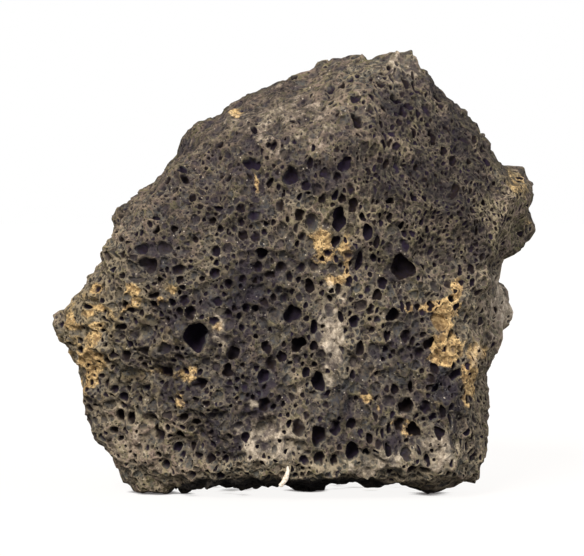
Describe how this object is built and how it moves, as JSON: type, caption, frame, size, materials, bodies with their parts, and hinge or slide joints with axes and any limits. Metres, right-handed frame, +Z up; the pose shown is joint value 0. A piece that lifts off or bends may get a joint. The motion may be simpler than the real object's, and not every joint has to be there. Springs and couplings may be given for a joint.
{
  "type": "lava rock",
  "caption": "Hand-sized block of dark vesicular lava rock, broken to flat faces, full of open gas bubbles, resting upright on small natural feet.",
  "frame": {"origin": "on the floor, under the middle of the stone's bounding box", "axes": "+X along the broad front face to its right, +Y away from the front face into the stone, +Z up"},
  "size_m": [0.1021, 0.0664, 0.0919],
  "materials": {
    "basalt": "dull, rough and full of pores, with rusty and pale patches",
    "root_fibre": "dry, matte and fibrous"
  },
  "bodies": {
    "root": {"lava_rock": "basalt", "pale_fleck": "root_fibre"}
  },
  "joints": []
}
